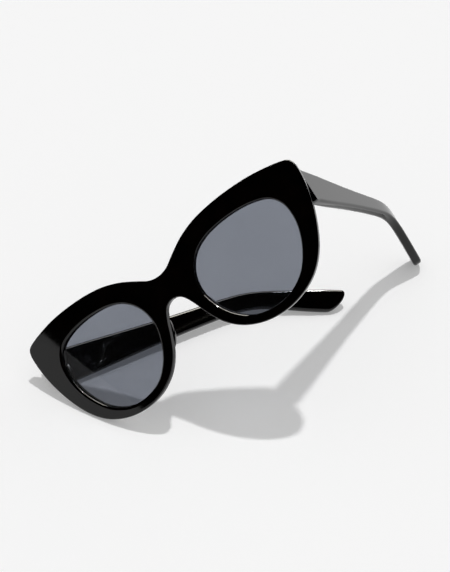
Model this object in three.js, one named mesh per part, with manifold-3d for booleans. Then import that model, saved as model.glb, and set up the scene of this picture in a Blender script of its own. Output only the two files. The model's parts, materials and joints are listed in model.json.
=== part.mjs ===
// Cat eye sunglasses, lying on a table: millimetres, +Z up, the table at z = 0.
//
// Every piece is drawn in the glasses' own upright axes: +X to the wearer's left, +Y backwards
// along the temples, +Z up, with the origin on the front face, between the eyes. The last group
// then tips the whole pair over, as it lies on its right rim and on the two temple tips.

import * as THREE from 'three';
import { mergeVertices } from 'three/addons/utils/BufferGeometryUtils.js';
import { TessellateModifier } from 'three/addons/modifiers/TessellateModifier.js';
import Module from 'manifold-3d';

const wasm = await Module();
wasm.setup();

const degrees = Math.PI / 180;
const gap = 0.3; // clearance between pieces that touch

// Front
const frontThickness = 3.6;
const faceCurve = { wrapRadius: 302, rollRadius: 500, middle: -4 }; // from above, from the side
const edgeBevel = 0.6;

// Lenses
const lensThickness = 1.5;
const lensRecess = 1.1; // from the front face to the lens
const grooveDepth = 1.0; // into the rim, all round the aperture

// Nose pads
const pad = { x: 10.9, z: -22.3, lean: 19, halfWidth: 2.7, halfHeight: 7.2, depth: 4 };

// Temples
const templeThickness = 4;
const templeOffset = 3; // from the hinge pin out to the temple's middle
const templeReach = 124; // from the hinge pin back to the tip
const templeSlope = 0.129; // fall per unit of length, before the ear bend
const earBend = { at: 91, soft: 4.5, drop: 0.54, inward: 0.29 };
const templeHeight = { hinge: 15, waist: 7.1, taper: 45, paddle: 2.1, paddleFrom: 96, paddleTo: 118 };
const tipRound = { length: 3.2, slant: 2.6 };

// Hinges
const hingePin = new THREE.Vector3(66.2, 15.4, -5.3);
const openAngle = 4.9; // an open temple leans inward by this much
const knuckleRadius = 1.7;
const knuckleCount = 5;
const knuckleStack = 7.5;
const pinBore = 1.0;
const pinRadius = 0.7;
const plate = { width: 7.4, length: 10, height: 7.2, thickness: 1.2 };

// The temple's leaf, in the temple's own axes: its plate is buried in the middle of the temple
const buriedPlate = [templeOffset - plate.thickness / 2, templeOffset + plate.thickness / 2];
const plateStart = 3;
const armEnd = 4;

// Core wires
const wireRadius = 0.75;

// How it lies: the folds of the two temples, then pitch, roll and turn of the whole pair
const leftFold = 0;
const rightFold = 38.63;
const lying = { pitch: -42.29, roll: -40.42, turn: 3 };

// Half outlines, X and Z, from the top of the bridge round to the nose arch
const frontHalf = [
  [4.5, -0.9], [9.9, 2.2], [16.9, 6], [25, 8.8], [34, 10.3], [44, 10.9], [54, 10.7], [63.1, 9.5],
  [69, 8.2], [71.5, 7.1], [72.6, 5], [72.8, 2], [72.4, -3.5], [70.9, -11], [67.4, -20.9],
  [62.2, -30.2], [55.6, -36.9], [46.9, -41.2], [37.5, -42.8], [28, -41.7], [19.5, -37.8],
  [13.5, -32], [9.6, -25], [7, -18.8], [4, -14.2],
];
const bridgeTop = [0, -1.7];
const noseArchTop = [0, -12.8];
const aperture = [
  [61, -13], [60.2, -6.5], [56.5, -1.6], [50, 0.9], [42, 1.9], [34, 1.7], [26, 0.3], [19.2, -3],
  [14.4, -9], [12.8, -16.5], [14.5, -23.8], [19, -31.3], [26, -36.9], [35, -38.9], [43.5, -37.8],
  [51.5, -33.2], [57, -26], [60, -19],
];

const acetate = () => new THREE.MeshStandardMaterial({ color: 0x0a0909, roughness: 0.12 });
const tint = () => new THREE.MeshStandardMaterial({
  color: 0x3c3d42, roughness: 0.04, transparent: true, opacity: 0.8,
});
const steel = () => new THREE.MeshStandardMaterial({ color: 0xb9b9bc, roughness: 0.3, metalness: 1 });

function toSolid(geometry) {
  const bare = new THREE.BufferGeometry();
  bare.setAttribute('position', geometry.getAttribute('position').clone());
  if (geometry.index) bare.setIndex(geometry.index.clone());
  const merged = mergeVertices(bare, 1e-4);
  return new wasm.Manifold(new wasm.Mesh({
    numProp: 3,
    vertProperties: new Float32Array(merged.getAttribute('position').array),
    triVerts: new Uint32Array(merged.index.array),
  }));
}

function toGeometry(solid) {
  const { vertProperties, triVerts } = solid.getMesh();
  const geometry = new THREE.BufferGeometry();
  geometry.setAttribute('position', new THREE.BufferAttribute(vertProperties, 3));
  geometry.setIndex(new THREE.BufferAttribute(triVerts, 1));
  geometry.computeVertexNormals();
  return geometry;
}

const box = (x0, x1, y0, y1, z0, z1) =>
  new THREE.BoxGeometry(x1 - x0, y1 - y0, z1 - z0)
    .translate((x0 + x1) / 2, (y0 + y1) / 2, (z0 + z1) / 2);

const uprightCylinder = (radius, z0, z1, sides = 16) =>
  new THREE.CylinderGeometry(radius, radius, z1 - z0, sides)
    .rotateX(Math.PI / 2).translate(0, 0, (z0 + z1) / 2);

// How far the whole front curves back at a point of its outline
const setBack = (x, z) =>
  (x * x) / (2 * faceCurve.wrapRadius) + (z - faceCurve.middle) ** 2 / (2 * faceCurve.rollRadius);

// Curves a flat geometry like the face, with its walls square to the curve
function bendToFace(geometry) {
  const place = geometry.getAttribute('position');
  for (let i = 0; i < place.count; i += 1) {
    const [x, depth, z] = [place.getX(i), place.getY(i), place.getZ(i)];
    place.setXYZ(i,
      x * (1 - depth / faceCurve.wrapRadius),
      depth + setBack(x, z),
      z - (depth * (z - faceCurve.middle)) / faceCurve.rollRadius);
  }
  return geometry;
}

function smoothLoop(points, count) {
  const curve = new THREE.CatmullRomCurve3(
    points.map(([x, z]) => new THREE.Vector3(x, z, 0)), true, 'centripetal');
  return curve.getSpacedPoints(count).slice(0, -1).map((p) => new THREE.Vector2(p.x, p.y));
}

// The same loop, moved outward by a distance along its normals
function grow(loop, distance) {
  const side = THREE.ShapeUtils.isClockWise(loop) ? -1 : 1;
  return loop.map((point, i) => {
    const before = loop[(i + loop.length - 1) % loop.length];
    const after = loop[(i + 1) % loop.length];
    const along = after.clone().sub(before).normalize();
    return new THREE.Vector2(point.x + side * along.y * distance, point.y - side * along.x * distance);
  });
}

// A plate of an XZ outline between two depths behind the front face, curved like the face
function facePlate(outline, yFront, yBack, { holes = [], bevel = 0 } = {}) {
  const shape = new THREE.Shape(outline);
  shape.holes = holes.map((hole) => new THREE.Path(hole));
  const flat = new THREE.ExtrudeGeometry(shape, {
    depth: yBack - yFront - 2 * bevel,
    bevelEnabled: bevel > 0,
    bevelThickness: bevel,
    bevelSize: bevel,
    bevelOffset: -bevel,
    bevelSegments: 1,
  });
  flat.rotateX(Math.PI / 2).translate(0, yBack - bevel, 0);
  const maxEdge = 14;
  return bendToFace(new TessellateModifier(maxEdge, 12).modify(flat));
}

const mirrored = (points) => points.map(([x, z]) => [-x, z]).reverse();
const frontLoop = smoothLoop(
  [bridgeTop, ...frontHalf, noseArchTop, ...mirrored(frontHalf)], 116);
const apertureLoop = smoothLoop(aperture, 48);
const flip = (loop) => loop.map((p) => new THREE.Vector2(-p.x, p.y)).reverse();

// The front leaf's own axes: on the back face, level with the pin, turned square to the face
const leafPlace = new THREE.Matrix4()
  .makeRotationZ(Math.atan(hingePin.x / faceCurve.wrapRadius))
  .setPosition(hingePin.x * (1 - frontThickness / faceCurve.wrapRadius),
    setBack(hingePin.x, hingePin.z) + frontThickness, hingePin.z);

function frontFrame() {
  const apertures = [apertureLoop, flip(apertureLoop)];
  let body = toSolid(facePlate(frontLoop, 0, frontThickness, { holes: apertures, bevel: edgeBevel }));
  const half = plate.height / 2 + gap;
  const pocket = box(-plate.width / 2 - gap, plate.width / 2 + gap, -plate.thickness - gap, 2, -half, half)
    .applyMatrix4(leafPlace);
  for (const hand of [1, -1]) {
    const wide = grow(hand > 0 ? apertureLoop : flip(apertureLoop), grooveDepth);
    const groove = facePlate(wide, lensRecess - gap, lensRecess + lensThickness + gap);
    body = body.subtract(toSolid(groove));
    body = body.subtract(toSolid(pocket).scale([hand, 1, 1]));
  }
  return toGeometry(body);
}

function lens() {
  const outline = grow(apertureLoop, grooveDepth - gap);
  return facePlate(outline, lensRecess, lensRecess + lensThickness);
}

// Half a long dome, bonded to the rim behind the nose arch
function nosePad() {
  const dome = new THREE.SphereGeometry(1, 16, 10)
    .scale(pad.halfWidth, pad.depth, pad.halfHeight)
    .rotateY(-pad.lean * degrees)
    .translate(pad.x, frontThickness + setBack(pad.x, pad.z), pad.z);
  const ahead = facePlate(smoothLoop(aperture.map(([x, z]) => [x - 26, z]), 40), -10, frontThickness + gap);
  return toGeometry(toSolid(dome).subtract(toSolid(ahead)));
}

// Height of knuckle number i above the middle of the stack, from the lowest up
const knuckleHeight = (knuckleStack - (knuckleCount - 1) * gap) / knuckleCount;
const knuckleBottom = (i) => -knuckleStack / 2 + i * (knuckleHeight + gap);

// A sunk plate with every second knuckle, each on its own arm; x0 to x1 and y0 to y1 bound the arms
function leaf(plateGeometry, first, [x0, x1, y0, y1], turn) {
  let body = toSolid(plateGeometry);
  for (let i = first; i < knuckleCount; i += 2) {
    const low = knuckleBottom(i);
    const high = low + knuckleHeight;
    body = body.add(toSolid(uprightCylinder(knuckleRadius, low, high)));
    body = body.add(toSolid(box(x0, x1, y0, y1, low, high).rotateZ(turn)));
  }
  const through = knuckleStack;
  return toGeometry(body.subtract(toSolid(uprightCylinder(pinBore, -through, through))));
}

// In axes centred on the pin, parallel to the glasses' own
function frontLeaf() {
  const half = plate.width / 2;
  const sunk = box(-half, half, -plate.thickness, 0, -plate.height / 2, plate.height / 2)
    .applyMatrix4(leafPlace)
    .translate(-hingePin.x, -hingePin.y, -hingePin.z);
  const toFace = hingePin.y - setBack(hingePin.x, hingePin.z) - frontThickness + plate.thickness / 2;
  return leaf(sunk, 0, [-knuckleRadius, 0.3, -toFace, 0], 0);
}

// In the temple's axes: the pin at the origin, +Y back along the temple, +X outward
function templeLeaf() {
  const [inner, outer] = buriedPlate;
  const sunk = box(inner, outer, plateStart, plateStart + plate.length, -plate.height / 2, plate.height / 2);
  return leaf(sunk, 1, [0, outer, 0, armEnd], 0);
}

function hingeScrew() {
  const top = knuckleStack / 2 + gap;
  const head = uprightCylinder(1.25, top, top + 0.7);
  const shank = uprightCylinder(pinRadius, -knuckleStack / 2, top + 0.3);
  const slot = box(-2, 2, -0.2, 0.2, top + 0.4, top + 1);
  return toGeometry(toSolid(shank).add(toSolid(head)).subtract(toSolid(slot)));
}

// Distance bent away from a straight line, past the ear bend
const pastBend = (y) => earBend.soft * Math.log1p(Math.exp((y - earBend.at) / earBend.soft));
const templeMiddle = (y) => -templeSlope * y - earBend.drop * pastBend(y);
const templeInward = (y) => earBend.inward * pastBend(y);

function templeDepth(y) {
  const { hinge, waist, taper, paddle, paddleFrom, paddleTo } = templeHeight;
  const tapered = waist + (hinge - waist) * Math.exp(-((Math.max(y, 0) / taper) ** 1.6));
  return tapered + paddle * THREE.MathUtils.smoothstep(y, paddleFrom, paddleTo);
}

// A point beside the temple's middle line, by a share of its half depth: +1 top, -1 bottom
function templeEdge(y, share, ahead = 0) {
  const along = new THREE.Vector2(1, (templeMiddle(y + 0.1) - templeMiddle(y - 0.1)) / 0.2).normalize();
  const across = new THREE.Vector2(-along.y, along.x);
  return new THREE.Vector2(y, templeMiddle(y))
    .addScaledVector(across, (share * templeDepth(y)) / 2)
    .addScaledVector(along, ahead);
}

function templeProfile() {
  const front = -6;
  const end = templeReach - tipRound.length;
  const stations = 26;
  const top = [];
  const bottom = [];
  for (let i = 0; i <= stations; i += 1) {
    const y = front + ((end - front) * i) / stations;
    top.push(templeEdge(y, 1, (tipRound.slant * i) / stations));
    bottom.unshift(templeEdge(y, -1, (-tipRound.slant * i) / stations));
  }
  const tip = [];
  const tipSteps = 8;
  for (let i = 1; i < tipSteps; i += 1) {
    const turn = Math.PI * (0.5 - i / tipSteps);
    const ahead = tipRound.length * Math.cos(turn) + tipRound.slant * Math.sin(turn);
    tip.push(templeEdge(end, Math.sin(turn), ahead));
  }
  return [...top, ...tip, ...bottom];
}

// Leans a straight temple's far end inward, towards the head
function bendInward(geometry) {
  const place = geometry.getAttribute('position');
  for (let i = 0; i < place.count; i += 1) {
    place.setX(i, place.getX(i) - templeInward(place.getY(i)));
  }
  return geometry;
}

function wirePath(start, end) {
  const points = [];
  const steps = 16;
  for (let i = 0; i <= steps; i += 1) {
    const y = start + ((end - start) * i) / steps;
    points.push(new THREE.Vector3(templeOffset - templeInward(y), y, templeMiddle(y)));
  }
  return new THREE.CatmullRomCurve3(points);
}

function wireTube(radius, start, end) {
  const section = new THREE.Shape().absarc(0, 0, radius, 0, 2 * Math.PI);
  return new THREE.ExtrudeGeometry(section, {
    curveSegments: 4, steps: 30, extrudePath: wirePath(start, end), bevelEnabled: false,
  });
}

const wireStart = 13.4;
const wireEnd = 112;

function temple() {
  const shape = new THREE.Shape(templeProfile());
  const slab = new THREE.ExtrudeGeometry(shape, {
    depth: templeThickness - 2 * edgeBevel,
    bevelThickness: edgeBevel,
    bevelSize: edgeBevel,
    bevelOffset: -edgeBevel,
    bevelSegments: 1,
  });
  // profile X, Y and depth become Y, Z and X
  slab.applyMatrix4(new THREE.Matrix4().makeBasis(
    new THREE.Vector3(0, 1, 0), new THREE.Vector3(0, 0, 1), new THREE.Vector3(1, 0, 0)));
  slab.translate(templeOffset - templeThickness / 2 + edgeBevel, 0, 0);
  const maxEdge = 14;
  let body = toSolid(bendInward(new TessellateModifier(maxEdge, 10).modify(slab)));

  const [inner, outer] = buriedPlate;
  const half = plate.height / 2 + gap;
  const slot = box(inner - gap, outer + gap, 0, plateStart + plate.length + gap, -half, half);
  const armRecess = box(0, outer + gap, 0, armEnd + gap, -half, half);
  body = body.subtract(toSolid(slot)).subtract(toSolid(armRecess));
  body = body.subtract(toSolid(uprightCylinder(knuckleRadius + gap, -knuckleStack / 2 - gap,
    knuckleStack / 2 + 1.3)));
  body = body.subtract(toSolid(wireTube(wireRadius + gap, wireStart - 0.6, wireEnd + gap)));

  // the front end is cut along the front's back face, in the open position
  const open = new THREE.Matrix4().makeRotationZ(openAngle * degrees).setPosition(hingePin);
  const ahead = bendToFace(new TessellateModifier(8, 8).modify(
    box(50, 90, -30, frontThickness + gap, -40, 30)));
  ahead.applyMatrix4(open.clone().invert());
  return toGeometry(body.subtract(toSolid(ahead)));
}

function piece(name, geometry, material) {
  const mesh = new THREE.Mesh(geometry, material);
  mesh.name = name;
  return mesh;
}

// One side's pieces, drawn for the wearer's left; the right side is its mirror image
function sideOf(suffix, fold, hand) {
  const side = new THREE.Group();
  side.scale.x = hand;
  side.add(piece(`lens_${suffix}`, lens(), tint()));
  side.add(piece(`nose_pad_${suffix}`, nosePad(), acetate()));

  const fixed = new THREE.Group();
  fixed.position.copy(hingePin);
  fixed.add(piece(`front_hinge_leaf_${suffix}`, frontLeaf(), steel()));
  fixed.add(piece(`hinge_screw_${suffix}`, hingeScrew(), steel()));

  const swinging = new THREE.Group();
  swinging.position.copy(hingePin);
  swinging.rotation.z = (openAngle + fold) * degrees;
  swinging.add(piece(`temple_${suffix}`, temple(), acetate()));
  swinging.add(piece(`temple_hinge_leaf_${suffix}`, templeLeaf(), steel()));
  swinging.add(piece(`core_wire_${suffix}`, wireTube(wireRadius, wireStart, wireEnd), steel()));

  side.add(fixed, swinging);
  return side;
}

const glasses = new THREE.Group();
glasses.add(piece('front_frame', frontFrame(), acetate()));
glasses.add(sideOf('left', leftFold, 1));
glasses.add(sideOf('right', rightFold, -1));
glasses.rotation.set(lying.pitch * degrees, lying.roll * degrees, lying.turn * degrees, 'ZYX');

// The middle of the footprint's box goes to the origin, and the lowest point to the table
const sunglasses = new THREE.Group();
sunglasses.add(glasses);
const extent = new THREE.Box3().setFromObject(sunglasses, true);
const middle = extent.getCenter(new THREE.Vector3());
glasses.position.set(-middle.x, -middle.y, -extent.min.z);

export default sunglasses;
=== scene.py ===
import json
import math

import bmesh
import bpy
import numpy as np
from mathutils import Matrix, Vector
from mathutils.geometry import delaunay_2d_cdt


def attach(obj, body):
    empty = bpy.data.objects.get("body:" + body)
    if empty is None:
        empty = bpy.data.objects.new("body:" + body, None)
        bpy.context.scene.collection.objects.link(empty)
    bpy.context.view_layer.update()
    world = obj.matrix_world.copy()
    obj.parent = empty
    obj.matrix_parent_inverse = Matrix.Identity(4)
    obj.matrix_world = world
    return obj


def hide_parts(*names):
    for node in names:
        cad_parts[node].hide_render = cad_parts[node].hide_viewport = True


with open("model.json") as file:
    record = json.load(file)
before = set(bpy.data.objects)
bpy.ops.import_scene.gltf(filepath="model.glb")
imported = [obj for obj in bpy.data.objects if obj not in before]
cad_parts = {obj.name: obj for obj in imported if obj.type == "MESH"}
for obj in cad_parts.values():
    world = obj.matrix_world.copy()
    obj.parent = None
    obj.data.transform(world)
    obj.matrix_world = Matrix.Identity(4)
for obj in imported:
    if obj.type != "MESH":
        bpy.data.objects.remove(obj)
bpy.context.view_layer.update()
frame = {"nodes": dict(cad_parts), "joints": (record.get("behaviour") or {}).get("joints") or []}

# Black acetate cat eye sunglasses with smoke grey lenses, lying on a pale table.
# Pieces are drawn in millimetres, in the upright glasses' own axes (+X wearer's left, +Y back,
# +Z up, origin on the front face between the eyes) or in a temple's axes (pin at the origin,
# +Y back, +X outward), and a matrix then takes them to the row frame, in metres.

MM = 0.001

# The front
FRONT_THICKNESS = 3.6
WRAP_RADIUS = 302
ROLL_RADIUS = 500
FACE_MIDDLE = -4
BACK_LEDGE = 2.66  # depth at which the lens groove ends
FRONT_LEDGE = 1.04  # depth at which it starts
GROOVE = 0.75
LENS = (1.1, 2.6)  # depths of a lens's two faces
LENS_REACH = 0.7  # into the groove
OUTER_EDGES = (0.55, 0.7)  # radii at the front and back face
APERTURE_EDGES = (0.95, 0.4)
LENS_EDGE = 0.15

BRIDGE_TOP = (0, -1.7)
NOSE_ARCH_TOP = (0, -12.8)
FRONT_HALF = [
    (4.5, -0.9), (9.9, 2.2), (16.9, 6), (25, 8.8), (34, 10.3), (44, 10.9), (54, 10.7),
    (63.1, 9.5), (69, 8.2), (71.5, 7.1), (72.6, 5), (72.8, 2), (72.4, -3.5), (70.9, -11),
    (67.4, -20.9), (62.2, -30.2), (55.6, -36.9), (46.9, -41.2), (37.5, -42.8), (28, -41.7),
    (19.5, -37.8), (13.5, -32), (9.6, -25), (7, -18.8), (4, -14.2),
]
APERTURE = [
    (61, -13), (60.2, -6.5), (56.5, -1.6), (50, 0.9), (42, 1.9), (34, 1.7), (26, 0.3),
    (19.2, -3), (14.4, -9), (12.8, -16.5), (14.5, -23.8), (19, -31.3), (26, -36.9),
    (35, -38.9), (43.5, -37.8), (51.5, -33.2), (57, -26), (60, -19),
]

# The nose pads
PAD_MIDDLE = (10.9, -22.3)
PAD_LEAN = math.radians(19)
PAD_SIZE = (2.65, 7.1, 3.9)  # half width, half height, depth

# The temples
TEMPLE_THICKNESS = 4
TEMPLE_OFFSET = 3
TEMPLE_REACH = 124
TEMPLE_SLOPE = 0.129
BEND_AT, BEND_SOFT, BEND_DROP, BEND_INWARD = 91, 4.5, 0.54, 0.29
HINGE_HEIGHT, WAIST_HEIGHT, TAPER = 15, 7.1, 45
PADDLE, PADDLE_FROM, PADDLE_TO = 2.1, 96, 118
TIP_LENGTH, TIP_SLANT = 3.2, 2.6
TEMPLE_EDGE = 1.2
FRONT_END = (0.5, 4, 0.25)  # where the edge starts to widen, over what length, from what share
SQUARED_OVER = 8  # how far the mitre at the front end reaches back

# The hinges
PIN = (66.2, 15.4, -5.3)
OPEN_ANGLE = 4.9
FOLDS = {"left": 0, "right": 38.63}
KNUCKLES = 5
KNUCKLE_RADIUS = 1.65
KNUCKLE_STACK = 7.7
KNUCKLE_GAP = 0.08
KNUCKLE_BORE = 0.74
ARM_INNER = 0.72  # from the pin's axis to a knuckle arm's near side
PLATE = (7.4, 7.2, 1.2)
PLATE_CORNER = 1.2
PLATE_EDGE = 0.2
BURIED = (3, 13)  # where the temple's plate starts and ends behind the pin
NOTCH = (1.9, 4.1)  # radius round the knuckles, and depth of the slot for the arms
NOTCH_CLEARANCE = 0.06

# How finely the meshes are drawn
CURVE_SAMPLES = 40
FRONT_SPACING, LENS_SPACING, LEAF_SPACING = 2.4, 2.6, 1.5
SHARP_ANGLE = 35


# ---- Places ----------------------------------------------------------------------------------

joints = {joint["child"]: joint for joint in frame["joints"]}
pin_left = Vector(joints["left_temple"]["pos_m"])
pin_right = Vector(joints["right_temple"]["pos_m"])
up = Vector(joints["left_temple"]["axis"]).normalized()
across = (pin_left - pin_right).normalized()
backward = up.cross(across)
face_origin = (pin_left + pin_right) / 2 - (backward * PIN[1] + up * PIN[2]) * MM

UPRIGHT = Matrix.Translation(face_origin) @ Matrix((across, backward, up)).transposed().to_4x4() \
    @ Matrix.Scale(MM, 4)
MIRROR = Matrix.Diagonal((-1, 1, 1, 1))


def side_matrix(side):
    """From the wearer's left half of the glasses to the row frame, mirrored for the right."""
    return UPRIGHT if side == "left" else UPRIGHT @ MIRROR


def pin_matrix(side):
    return side_matrix(side) @ Matrix.Translation(PIN)


def temple_matrix(side):
    turn = math.radians(OPEN_ANGLE + FOLDS[side])
    return pin_matrix(side) @ Matrix.Rotation(turn, 4, "Z")


def set_back(x, z):
    return x ** 2 / (2 * WRAP_RADIUS) + (z - FACE_MIDDLE) ** 2 / (2 * ROLL_RADIUS)


def on_face(x, z, depth):
    """A point behind the curved face, square to it."""
    return np.stack([x * (1 - depth / WRAP_RADIUS), depth + set_back(x, z),
                     z - depth * (z - FACE_MIDDLE) / ROLL_RADIUS], 1)


def past_bend(y):
    return BEND_SOFT * np.log1p(np.exp((y - BEND_AT) / BEND_SOFT))


def temple_middle(y):
    return -TEMPLE_SLOPE * y - BEND_DROP * past_bend(y)


def temple_depth(y):
    share = np.clip((y - PADDLE_FROM) / (PADDLE_TO - PADDLE_FROM), 0, 1)
    flare = PADDLE * share ** 2 * (3 - 2 * share)
    taper = np.exp(-((np.maximum(y, 0) / TAPER) ** 1.6))
    return WAIST_HEIGHT + (HINGE_HEIGHT - WAIST_HEIGHT) * taper + flare


def mitre(x, z, gap=0.12):
    """Where the temple's front end meets the front's back face, in the temple's axes."""
    turn = math.radians(OPEN_ANGLE)
    squeeze = 1 - FRONT_THICKNESS / WRAP_RADIUS
    behind = FRONT_THICKNESS + gap + set_back((PIN[0] + x) / squeeze, PIN[2] + z)
    return (behind - PIN[1] - math.sin(turn) * x) / math.cos(turn)


def in_temple(y, z, depth):
    """Temple outline and depth from its inner side, to the temple's own axes."""
    x = TEMPLE_OFFSET - TEMPLE_THICKNESS / 2 + depth
    near_front = np.clip(1 - (y - mitre(TEMPLE_OFFSET, 0)) / SQUARED_OVER, 0, 1)
    along = y + (mitre(x, z) - mitre(TEMPLE_OFFSET, 0)) * near_front
    return np.stack([x - BEND_INWARD * past_bend(y), along, z], 1)


# ---- Loops and plates ------------------------------------------------------------------------

def resample(points, count):
    """Evenly spaced points round a closed loop."""
    closed = np.vstack([points, points[:1]])
    length = np.concatenate([[0], np.cumsum(np.linalg.norm(np.diff(closed, axis=0), axis=1))])
    at = np.linspace(0, length[-1], count, endpoint=False)
    return np.stack([np.interp(at, length, closed[:, k]) for k in (0, 1)], 1)


def smooth_loop(points, step=1.0, soften=0.6):
    """A closed centripetal Catmull-Rom curve through the points, softened a little."""
    p1 = np.array(points, float)
    p0, p2, p3 = (np.roll(p1, k, 0) for k in (1, -1, -2))
    d0, d1, d2 = (np.sqrt(np.linalg.norm(b - a, axis=1))[:, None]
                  for a, b in ((p0, p1), (p1, p2), (p2, p3)))
    m1 = ((p1 - p0) / d0 - (p2 - p0) / (d0 + d1) + (p2 - p1) / d1) * d1
    m2 = ((p2 - p1) / d1 - (p3 - p1) / (d1 + d2) + (p3 - p2) / d2) * d1
    s = np.linspace(0, 1, CURVE_SAMPLES, endpoint=False)[:, None, None]
    curve = ((2 * s ** 3 - 3 * s ** 2 + 1) * p1 + (s ** 3 - 2 * s ** 2 + s) * m1
             + (3 * s ** 2 - 2 * s ** 3) * p2 + (s ** 3 - s ** 2) * m2)
    dense = curve.transpose(1, 0, 2).reshape(-1, 2)
    around = np.linalg.norm(np.diff(dense, axis=0), axis=1).sum()
    return soft_loop(resample(dense, int(around / step)), soften / step)


def soft_loop(loop, sigma):
    """The loop's points averaged with their neighbours, sigma counted in points."""
    reach = max(1, math.ceil(3 * sigma))
    shifts = range(-reach, reach + 1)
    weights = np.exp(-0.5 * (np.array(shifts) / sigma) ** 2)
    return sum(w * np.roll(loop, k, 0) for w, k in zip(weights / weights.sum(), shifts))


def grow(loop, distance):
    """The loop moved outward along its normals, by one distance or one for each point."""
    along = np.roll(loop, -1, 0) - np.roll(loop, 1, 0)
    along /= np.linalg.norm(along, axis=1)[:, None]
    x, y = loop.T
    area = np.sum(x * np.roll(y, -1) - y * np.roll(x, -1))
    outward = np.sign(area) * np.stack([along[:, 1], -along[:, 0]], 1)
    return loop + outward * np.broadcast_to(distance, len(loop))[:, None]


def arc(radius, steps=6):
    """(inset, depth) round a quarter circle, from a face to the wall beside it."""
    turns = np.linspace(0, math.pi / 2, steps + 1)
    return [(radius * (1 - math.sin(t)), radius * (1 - math.cos(t))) for t in turns]


def edge_profile(thickness, front, back, groove=()):
    """(inset, depth) from one face to the other, with both edges rounded."""
    inset = max(front, back) + 0.3
    start = [(inset, 0)] + arc(front)
    end = [(a, thickness - b) for a, b in reversed(arc(back))] + [(inset, thickness)]
    return start + list(groove) + end


def inside(points, loop):
    """Which points are within the loop, by the even-odd rule."""
    x, y = points[:, 0, None], points[:, 1, None]
    x0, y0 = loop.T
    x1, y1 = np.roll(loop, -1, 0).T
    crosses = (y0 > y) != (y1 > y)
    with np.errstate(divide="ignore", invalid="ignore"):
        hit = x < x0 + (y - y0) * (x1 - x0) / (y1 - y0)
    return (crosses & hit).sum(1) % 2 == 1


def face_triangles(loops, spacing):
    """Points within the first loop and outside the others, and triangles over them all."""
    low, high = loops[0].min(0), loops[0].max(0)
    grid = np.stack(np.meshgrid(*(np.arange(a, b, spacing) for a, b in zip(low, high))), -1)
    grid = grid.reshape(-1, 2)
    border = np.vstack(loops)
    clear = np.linalg.norm(grid[:, None] - border[None], axis=2).min(1) > spacing * 0.6
    grid = grid[clear]

    def within(points):
        return inside(points, loops[0]) & ~np.any([inside(points, h) for h in loops[1:]]
                                                  or [np.zeros(len(points), bool)], axis=0)
    grid = grid[within(grid)]
    edges, start = [], 0
    for loop in loops:
        count = len(loop)
        edges += [(start + i, start + (i + 1) % count) for i in range(count)]
        start += count
    points = np.vstack([border, grid])
    _, _, triangles, origin, _, _ = delaunay_2d_cdt(
        [Vector(p) for p in points], edges, [], 0, 1e-7, True)
    triangles = np.array([[origin[i][0] for i in t] for t in triangles])
    middles = points[triangles].mean(1)
    return grid, triangles[within(middles)]


def plate(outline, holes, spacing, place, share=1.0):
    """A plate between two faces. outline and each hole are (loop, profile) pairs, with a profile
    of (inset, depth) rings from the first face to the second. share scales the outline's insets,
    and may differ from point to point."""
    loops, points, faces, first, last = [], [], [], [], []
    total = 0
    for k, (loop, profile) in enumerate([outline, *holes]):
        count = len(loop)
        for inset, depth in profile:
            ring = grow(loop, -inset * share if k == 0 else inset)
            points.append(np.column_stack([ring, np.full(count, depth)]))
        loops.append(points[-1][:, :2])
        for r in range(len(profile) - 1):
            a, b = total + r * count, total + (r + 1) * count
            faces += [(a + i, a + (i + 1) % count, b + (i + 1) % count, b + i)
                      for i in range(count)]
        first.append(total + np.arange(count))
        last.append(total + (len(profile) - 1) * count + np.arange(count))
        total += count * len(profile)
    grid, triangles = face_triangles(loops, spacing)
    for rings, depth in ((first, outline[1][0][1]), (last, outline[1][-1][1])):
        lookup = np.concatenate([*rings, total + np.arange(len(grid))])
        points.append(np.column_stack([grid, np.full(len(grid), depth)]))
        total += len(grid)
        faces += [tuple(int(v) for v in t) for t in lookup[triangles]]
    a, b, depth = np.vstack(points).T
    return place(a, b, depth), faces


# ---- Meshes ----------------------------------------------------------------------------------

def make_piece(name, points, faces, matrix):
    mesh = bpy.data.meshes.new(name)
    mesh.from_pydata([tuple(p) for p in points], [], faces)
    return finish_mesh(name, mesh, matrix)


def finish_mesh(name, mesh, matrix):
    """Puts a mesh in the row frame, with outward faces and smooth shading between sharp edges."""
    mesh.transform(matrix)
    work = bmesh.new()
    work.from_mesh(mesh)
    bmesh.ops.recalc_face_normals(work, faces=work.faces)
    work.to_mesh(mesh)
    work.free()
    mesh.shade_smooth()
    mesh.set_sharp_from_angle(angle=math.radians(SHARP_ANGLE))
    obj = bpy.data.objects.new(name, mesh)
    bpy.context.scene.collection.objects.link(obj)
    return obj


def lathe(profile, sides=32):
    """Points and faces of a closed loop of (radius, height) points turned about Z."""
    turns = np.arange(sides) * 2 * math.pi / sides
    points, faces = [], []
    for radius, height in profile:
        points += [(radius * math.cos(t), radius * math.sin(t), height) for t in turns]
    count = len(profile)
    for r in range(count):
        s = (r + 1) % count
        faces += [(r * sides + i, r * sides + (i + 1) % sides,
                   s * sides + (i + 1) % sides, s * sides + i) for i in range(sides)]
    return points, faces


def block(x0, x1, y0, y1, z0, z1, bevel=0.15):
    """A box with rounded edges, as points and faces."""
    work = bmesh.new()
    size = Matrix.Diagonal((x1 - x0, y1 - y0, z1 - z0, 1))
    middle = Matrix.Translation(((x0 + x1) / 2, (y0 + y1) / 2, (z0 + z1) / 2))
    bmesh.ops.create_cube(work, size=1, matrix=middle @ size)
    if bevel:
        bmesh.ops.bevel(work, geom=work.edges[:], offset=bevel, segments=3, affect="EDGES",
                        profile=0.5)
    points = [tuple(v.co) for v in work.verts]
    faces = [tuple(v.index for v in f.verts) for f in work.faces]
    work.free()
    return points, faces


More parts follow.
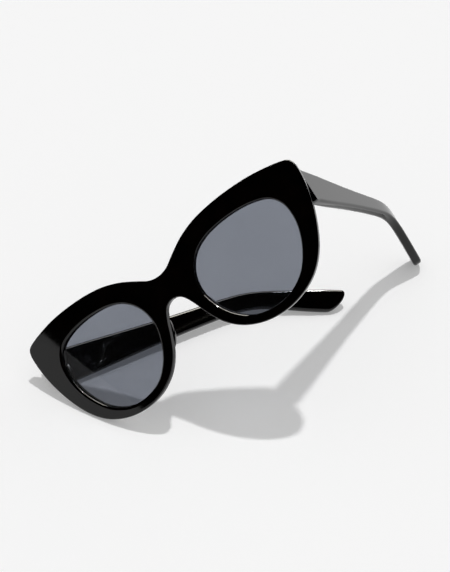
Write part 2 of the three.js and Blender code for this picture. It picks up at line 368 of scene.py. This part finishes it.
def joined(*parts):
    """Several (points, faces) shapes as one."""
    points, faces = [], []
    for some_points, some_faces in parts:
        start = len(points)
        points += [tuple(p) for p in some_points]
        faces += [tuple(start + i for i in f) for f in some_faces]
    return points, faces


def moved(shape, matrix):
    points, faces = shape
    return [tuple(matrix @ Vector(p)) for p in points], faces


def cut(obj, shape, matrix):
    """Takes a (points, faces) shape out of the piece, and clears the cutter away."""
    cutter = make_piece("cutter", *shape, matrix)
    modifier = obj.modifiers.new("cut", "BOOLEAN")
    modifier.operation = "DIFFERENCE"
    modifier.solver = "EXACT"
    modifier.object = cutter
    graph = bpy.context.evaluated_depsgraph_get()
    result = bpy.data.meshes.new_from_object(obj.evaluated_get(graph))
    obj.modifiers.clear()
    old, obj.data = obj.data, result
    bpy.data.meshes.remove(old)
    bpy.data.objects.remove(cutter)
    result.name = obj.name
    result.set_sharp_from_angle(angle=math.radians(SHARP_ANGLE))


# ---- Materials -------------------------------------------------------------------------------

def new_material(name):
    material = bpy.data.materials.new(name)
    material.use_nodes = True
    nodes = material.node_tree.nodes
    return material, nodes, material.node_tree.links, nodes["Principled BSDF"]


def noise(nodes, links, scale, detail=2, stretch=(1, 1, 1)):
    """A noise texture fixed to the piece, and its value output."""
    place = nodes.new("ShaderNodeTexCoord")
    mapping = nodes.new("ShaderNodeMapping")
    mapping.inputs["Scale"].default_value = stretch
    texture = nodes.new("ShaderNodeTexNoise")
    texture.inputs["Scale"].default_value = scale
    texture.inputs["Detail"].default_value = detail
    links.new(place.outputs["Object"], mapping.inputs["Vector"])
    links.new(mapping.outputs["Vector"], texture.inputs["Vector"])
    return texture.outputs["Fac"]


def colour_ramp(nodes, links, value, stops):
    ramp = nodes.new("ShaderNodeValToRGB")
    elements = ramp.color_ramp.elements
    for element, (position, colour) in zip(elements, stops):
        element.position = position
        element.color = (*colour, 1)
    for position, colour in stops[2:]:
        elements.new(position).color = (*colour, 1)
    links.new(value, ramp.inputs["Fac"])
    return ramp.outputs["Color"]


def spread(nodes, links, value, low, high):
    """The value's 0.3 to 0.7 spread over low to high."""
    ranged = nodes.new("ShaderNodeMapRange")
    ranged.inputs["From Min"].default_value = 0.3
    ranged.inputs["From Max"].default_value = 0.7
    ranged.inputs["To Min"].default_value = low
    ranged.inputs["To Max"].default_value = high
    links.new(value, ranged.inputs["Value"])
    return ranged.outputs["Result"]


def bumped(nodes, links, shader, value, strength, distance):
    bump = nodes.new("ShaderNodeBump")
    bump.inputs["Strength"].default_value = strength
    bump.inputs["Distance"].default_value = distance
    links.new(value, bump.inputs["Height"])
    links.new(bump.outputs["Normal"], shader.inputs["Normal"])


def acetate_material():
    """Polished black acetate: a faint brown depth, and a surface that is not quite even."""
    material, nodes, links, shader = new_material("polished_black_acetate")
    cloud = noise(nodes, links, 90, detail=3)
    tone = colour_ramp(nodes, links, cloud, [
        (0.4, (0.0003, 0.00025, 0.00025)), (0.8, (0.0016, 0.0008, 0.0006))])
    links.new(tone, shader.inputs["Base Color"])
    shader.inputs["IOR"].default_value = 1.38
    wipe = noise(nodes, links, 260, detail=4)
    links.new(spread(nodes, links, wipe, 0.035, 0.075), shader.inputs["Roughness"])
    ripple = noise(nodes, links, 70, detail=1)
    bumped(nodes, links, shader, ripple, 0.06, 0.0002)
    return material


def lens_material():
    """Smoke grey plastic lens."""
    material, nodes, links, shader = new_material("smoke_grey_lens")
    cloud = noise(nodes, links, 30, detail=1)
    tone = colour_ramp(nodes, links, cloud, [
        (0.3, (0.215, 0.23, 0.268)), (0.7, (0.225, 0.24, 0.278))])
    links.new(tone, shader.inputs["Base Color"])
    shader.inputs["Transmission Weight"].default_value = 1
    shader.inputs["IOR"].default_value = 1.24
    wipe = noise(nodes, links, 120, detail=2)
    links.new(spread(nodes, links, wipe, 0.0, 0.012), shader.inputs["Roughness"])
    return material


def steel_material():
    """Satin hinge steel with fine turning marks."""
    material, nodes, links, shader = new_material("satin_hinge_steel")
    shader.inputs["Metallic"].default_value = 1
    grain = noise(nodes, links, 1500, detail=3, stretch=(1, 1, 6))
    tone = colour_ramp(nodes, links, grain, [
        (0.3, (0.32, 0.32, 0.33)), (0.7, (0.46, 0.46, 0.47))])
    links.new(tone, shader.inputs["Base Color"])
    links.new(spread(nodes, links, grain, 0.22, 0.38), shader.inputs["Roughness"])
    bumped(nodes, links, shader, grain, 0.1, 0.00003)
    return material


def glowing_table_material():
    """The pale table top, which glows a little as painted fill light that pales the shadows on it.
    """
    material, nodes, links, shader = new_material("pale_table")
    grain = noise(nodes, links, 6, detail=1)
    tone = colour_ramp(nodes, links, grain, [
        (0.3, (0.8, 0.8, 0.8)), (0.7, (0.803, 0.803, 0.803))])
    links.new(tone, shader.inputs["Base Color"])
    shader.inputs["Roughness"].default_value = 1
    shader.inputs["Specular IOR Level"].default_value = 0
    # painted fill light: the table glows, so its shadows never go much darker than half its
    # brightness
    shader.inputs["Emission Color"].default_value = (1, 1, 1, 1)
    shader.inputs["Emission Strength"].default_value = 0.22
    return material


acetate = acetate_material()
tinted = lens_material()
steel = steel_material()


def settle(obj, material, slot, body, *nodes):
    """The piece's material, the body it moves with and the CAD nodes it stands for."""
    obj.data.materials.clear()
    obj.data.materials.append(material)
    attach(obj, body)
    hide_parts(*nodes)


# ---- The front -------------------------------------------------------------------------------

def flipped(points):
    return [(-x, z) for x, z in reversed(points)]


front_loop = smooth_loop([BRIDGE_TOP, *FRONT_HALF, NOSE_ARCH_TOP, *flipped(FRONT_HALF)])
aperture_loop = smooth_loop(APERTURE)
mirrored_aperture = aperture_loop[::-1] * (-1, 1)

# The front leaf's axes: on the back face, level with the pin, square to the face
LEAF_PLACE = Matrix.Translation((PIN[0] * (1 - FRONT_THICKNESS / WRAP_RADIUS),
                                 set_back(PIN[0], PIN[2]) + FRONT_THICKNESS, PIN[2])) \
    @ Matrix.Rotation(math.atan(PIN[0] / WRAP_RADIUS), 4, "Z")


def leaf_plate(width, height, depth, proud, edge=PLATE_EDGE):
    """A rounded rectangular plate that lies in the back face, in the leaf's axes."""
    corner = PLATE_CORNER
    x, z = width / 2, height / 2
    turns = np.linspace(0, math.pi / 2, 7)
    loop = []
    for quarter, (cx, cz) in enumerate([(1, 1), (-1, 1), (-1, -1), (1, -1)]):
        loop += [(cx * (x - corner) + corner * math.cos(t + quarter * math.pi / 2),
                  cz * (z - corner) + corner * math.sin(t + quarter * math.pi / 2)) for t in turns]
    loop = resample(np.array(loop), 64)
    profile = edge_profile(depth + proud, edge, edge)
    return plate((loop, profile), [], LEAF_SPACING,
                 lambda a, b, d: np.stack([a, proud - d, b], 1))


def build_front():
    outer = edge_profile(FRONT_THICKNESS, *OUTER_EDGES)
    groove = [(0, FRONT_LEDGE), (GROOVE, FRONT_LEDGE), (GROOVE, BACK_LEDGE), (0, BACK_LEDGE)]
    inner = edge_profile(FRONT_THICKNESS, *APERTURE_EDGES, groove)
    shape = plate((front_loop, outer), [(aperture_loop, inner), (mirrored_aperture, inner)],
                  FRONT_SPACING, on_face)
    front = make_piece("front_acetate", *shape, UPRIGHT)
    width, height, thickness = PLATE
    pocket = leaf_plate(width + 0.1, height + 0.1, thickness + 0.05, 1.0, edge=0.05)
    for side in FOLDS:
        cut(front, pocket, side_matrix(side) @ LEAF_PLACE)
    settle(front, acetate, "acetate", "front", "front_frame")


def build_lens(side):
    loop = grow(aperture_loop, LENS_REACH)
    near, far = LENS
    profile = edge_profile(far - near, LENS_EDGE, LENS_EDGE)
    points, faces = plate((loop, profile), [], LENS_SPACING,
                          lambda a, b, d: on_face(a, b, d + near))
    obj = make_piece(f"lens_{side}", points, faces, side_matrix(side))
    settle(obj, tinted, "tinted_lens", "front", f"lens_{side}")


def build_nose_pad(side):
    """A smooth dome moulded on the back of the rim, beside the nose arch."""
    half_width, half_height, depth = PAD_SIZE
    rings, sides = 12, 40
    points, faces = [], []
    for r in range(rings + 1):
        turn = math.pi / 2 * r / rings
        spread_out = math.cos(turn) ** 0.9 if r < rings else 0.0
        for i in range(sides):
            t = 2 * math.pi * i / sides
            a, b = half_width * spread_out * math.cos(t), half_height * spread_out * math.sin(t)
            x = PAD_MIDDLE[0] + a * math.cos(PAD_LEAN) - b * math.sin(PAD_LEAN)
            z = PAD_MIDDLE[1] + a * math.sin(PAD_LEAN) + b * math.cos(PAD_LEAN)
            points.append((x, FRONT_THICKNESS + 0.02 + set_back(x, z) + depth * math.sin(turn), z))
    for r in range(rings):
        faces += [(r * sides + i, r * sides + (i + 1) % sides,
                   (r + 1) * sides + (i + 1) % sides, (r + 1) * sides + i) for i in range(sides)]
    faces.append(tuple(range(sides)))
    obj = make_piece(f"nose_pad_{side}_moulded", points, faces, side_matrix(side))
    work = bmesh.new()
    work.from_mesh(obj.data)
    bmesh.ops.remove_doubles(work, verts=work.verts, dist=1e-6)
    work.to_mesh(obj.data)
    work.free()
    settle(obj, acetate, "acetate", "front", f"nose_pad_{side}")


# ---- The hinges ------------------------------------------------------------------------------

def knuckle(i):
    pitch = KNUCKLE_STACK / KNUCKLES
    low = -KNUCKLE_STACK / 2 + i * pitch + KNUCKLE_GAP / 2
    high = low + pitch - KNUCKLE_GAP
    bevel, bore = 0.12, KNUCKLE_BORE
    ring = [(bore, low), (KNUCKLE_RADIUS - bevel, low), (KNUCKLE_RADIUS, low + bevel),
            (KNUCKLE_RADIUS, high - bevel), (KNUCKLE_RADIUS - bevel, high), (bore, high)]
    return lathe(ring), low, high


def build_leaf(name, side, sunk, first, arm, matrix, body, node):
    """A hinge leaf: its plate, and every second knuckle on an arm of its own."""
    shapes = [sunk]
    for i in range(first, KNUCKLES, 2):
        ring, low, high = knuckle(i)
        shapes += [ring, block(*arm, low, high)]
    obj = make_piece(f"{name}_{side}", *joined(*shapes), matrix)
    settle(obj, steel, "hinge_steel", body, node)


def build_hinge(side):
    width, height, thickness = PLATE
    in_pin_axes = Matrix.Translation([-c for c in PIN]) @ LEAF_PLACE
    sunk = moved(leaf_plate(width, height, thickness, 0.0), in_pin_axes)
    to_face = PIN[1] - set_back(PIN[0], PIN[2]) - FRONT_THICKNESS + thickness / 2
    build_leaf("front_leaf", side, sunk, 0, (-KNUCKLE_RADIUS, -ARM_INNER, -to_face, 0),
               pin_matrix(side), "front", f"front_hinge_leaf_{side}")

    buried = block(TEMPLE_OFFSET - thickness / 2, TEMPLE_OFFSET + thickness / 2, *BURIED,
                   -height / 2, height / 2)
    build_leaf("temple_leaf", side, buried, 1, (ARM_INNER, TEMPLE_OFFSET, 0, BURIED[0] + 1),
               temple_matrix(side), f"{side}_temple", f"temple_hinge_leaf_{side}")


def build_screw(side):
    top = KNUCKLE_STACK / 2
    head, shank, rim, bevel = 1.25, 0.68, 0.7, 0.15
    profile = [(0.001, -top), (shank - 0.1, -top), (shank, -top + 0.1), (shank, top + 0.03),
               (head - 0.05, top + 0.03), (head, top + 0.08), (head, top + rim - bevel),
               (head - bevel / 3, top + rim - bevel / 3), (head - bevel, top + rim),
               (0.001, top + rim)]
    obj = make_piece(f"screw_{side}", *lathe(profile), pin_matrix(side))
    cut(obj, block(-2, 2, -0.2, 0.2, top + 0.4, top + 2, bevel=0), pin_matrix(side))
    settle(obj, steel, "hinge_steel", "front", f"hinge_screw_{side}")


# ---- The temples -----------------------------------------------------------------------------

def temple_edge(y, share, ahead=0.0):
    """Points beside the temple's middle line: share +1 is its top and -1 its bottom."""
    y = np.asarray(y, float)
    slope = (temple_middle(y + 0.1) - temple_middle(y - 0.1)) / 0.2
    along = np.stack([np.ones_like(slope), slope], -1) / np.hypot(1, slope)[..., None]
    up_from = np.stack([-along[..., 1], along[..., 0]], -1)
    middle = np.stack([y, temple_middle(y)], -1)
    half = np.asarray(share * temple_depth(y) / 2)[..., None]
    return middle + up_from * half + along * np.asarray(ahead)[..., None]


def temple_loop():
    start, end = mitre(TEMPLE_OFFSET, 0), TEMPLE_REACH - TIP_LENGTH
    y = np.linspace(start - 1.5, end, 91)
    lean = TIP_SLANT * (y - start) / (end - start)
    turn = np.linspace(math.pi / 2, -math.pi / 2, 16)[1:-1]
    ahead = TIP_LENGTH * np.cos(turn) + TIP_SLANT * np.sin(turn)
    tip = np.array([temple_edge(end, math.sin(t), a) for t, a in zip(turn, ahead)])
    top, bottom = temple_edge(y, 1, lean), temple_edge(y, -1, -lean)[::-1]
    # the front end is upright, along the front's back face
    top[top[:, 0] < start, 0] = start
    bottom[bottom[:, 0] < start, 0] = start
    outline = np.vstack([top, tip, bottom])
    keep = np.linalg.norm(outline - np.roll(outline, 1, 0), axis=1) > 1e-6
    outline = outline[keep]
    around = np.linalg.norm(outline - np.roll(outline, 1, 0), axis=1).sum()
    return soft_loop(resample(outline, int(around)), 0.45)


def build_temple(side):
    loop = temple_loop()
    profile = edge_profile(TEMPLE_THICKNESS, TEMPLE_EDGE, TEMPLE_EDGE)
    start, length, least = FRONT_END
    from_front = np.clip((loop[:, 0] - loop[:, 0].min() - start) / length, 0, 1)
    shape = plate((loop, profile), [], FRONT_SPACING, in_temple,
                  share=least + (1 - least) * from_front)
    obj = make_piece(f"temple_{side}_acetate", *shape, temple_matrix(side))
    half = KNUCKLE_STACK / 2 + NOTCH_CLEARANCE
    radius, slot = NOTCH
    notch = lathe([(0.001, -half), (radius, -half), (radius, half + 1), (0.001, half + 1)])
    cut(obj, notch, temple_matrix(side))
    cut(obj, block(0, TEMPLE_OFFSET + 0.7, 0, slot, -half, half, bevel=0), temple_matrix(side))
    settle(obj, acetate, "acetate", f"{side}_temple", f"temple_{side}")


build_front()
for side in FOLDS:
    build_lens(side)
    build_nose_pad(side)
    build_hinge(side)
    build_screw(side)
    build_temple(side)
    wire = frame["nodes"][f"core_wire_{side}"]
    wire.data.materials.clear()
    wire.data.materials.append(steel)


# ---- Table, light and camera -----------------------------------------------------------------

def build_table():
    """A flat pale sheet."""
    left, right, near, far, count = -6.0, 6.0, -3.0, 6.0, 5
    x, y = np.linspace(left, right, count), np.linspace(near, far, count)
    points = [(a, b, 0.0) for b in y for a in x]
    faces = [(r * count + i, r * count + i + 1, (r + 1) * count + i + 1, (r + 1) * count + i)
             for r in range(count - 1) for i in range(count - 1)]
    table = make_piece("table", points, faces, Matrix.Identity(4))
    table.data.materials.append(glowing_table_material())


def build_flag():
    """A black board in front on the left, which is seen only in reflections."""
    material, _, _, shader = new_material("black_flag")
    shader.inputs["Base Color"].default_value = (0.001, 0.001, 0.001, 1)
    shader.inputs["Roughness"].default_value = 1
    shader.inputs["Specular IOR Level"].default_value = 0
    place = Matrix.Translation((-0.56, -0.42, 0)) @ Matrix.Rotation(math.radians(127), 4, "Z")
    points = [(-1.5, 0, 0), (1.5, 0, 0), (1.5, 0, 1.5), (-1.5, 0, 1.5)]
    flag = make_piece("flag", points, [(0, 1, 2, 3)], place)
    flag.data.materials.append(material)
    flag.visible_camera = flag.visible_diffuse = flag.visible_shadow = False
    flag.visible_transmission = False


def aim(obj, direction):
    """Turns a lamp or camera so that it shines or looks along the direction."""
    obj.rotation_euler = Vector(direction).to_track_quat("-Z", "Y").to_euler()


def add_light(name, kind, energy, towards, place=(0, 0, 0)):
    lamp = bpy.data.lights.new(name, kind)
    lamp.energy = energy
    obj = bpy.data.objects.new(name, lamp)
    obj.location = place
    aim(obj, towards)
    bpy.context.scene.collection.objects.link(obj)
    return obj


def build_light():
    key = add_light("key", "SUN", 1.45, (-0.08, -0.154, -1))
    key.data.angle = math.radians(2.4)

    behind = add_light("card_behind", "AREA", 150, (-0.2, -1, -1.7), place=(0.25, 1.05, 1.8))
    behind.data.color = (1, 0.96, 0.86)
    behind.data.shape = "RECTANGLE"
    behind.data.size, behind.data.size_y = 2.0, 1.2
    behind.visible_camera = False
    behind.visible_diffuse = False

    world = bpy.data.worlds.new("studio")
    world.use_nodes = True
    backdrop = world.node_tree.nodes["Background"]
    backdrop.inputs["Color"].default_value = (1, 1, 1, 1)
    backdrop.inputs["Strength"].default_value = 0.42
    bpy.context.scene.world = world
    world.cycles_visibility.glossy = False


def build_camera():
    """At the photo's viewing angle, a long lens about a metre away."""
    target = Vector((-0.00160, -0.03300, 0.05720))
    distance = 1.088
    azimuth, elevation, roll = (math.radians(a) for a in (0.896, 38.555, 1.121))
    back = Vector((math.sin(azimuth) * math.cos(elevation),
                   -math.cos(azimuth) * math.cos(elevation), math.sin(elevation)))
    focal_length = 168.9
    lens = bpy.data.cameras.new("camera")
    lens.lens = focal_length
    camera = bpy.data.objects.new("camera", lens)
    camera.location = target + back * distance
    look = (-back).to_track_quat("-Z", "Y").to_matrix()
    camera.rotation_euler = (look @ Matrix.Rotation(-roll, 3, "Z")).to_euler()
    bpy.context.scene.collection.objects.link(camera)
    bpy.context.scene.camera = camera


build_table()
build_flag()
build_light()
build_camera()
bpy.context.scene.view_settings.view_transform = "Standard"
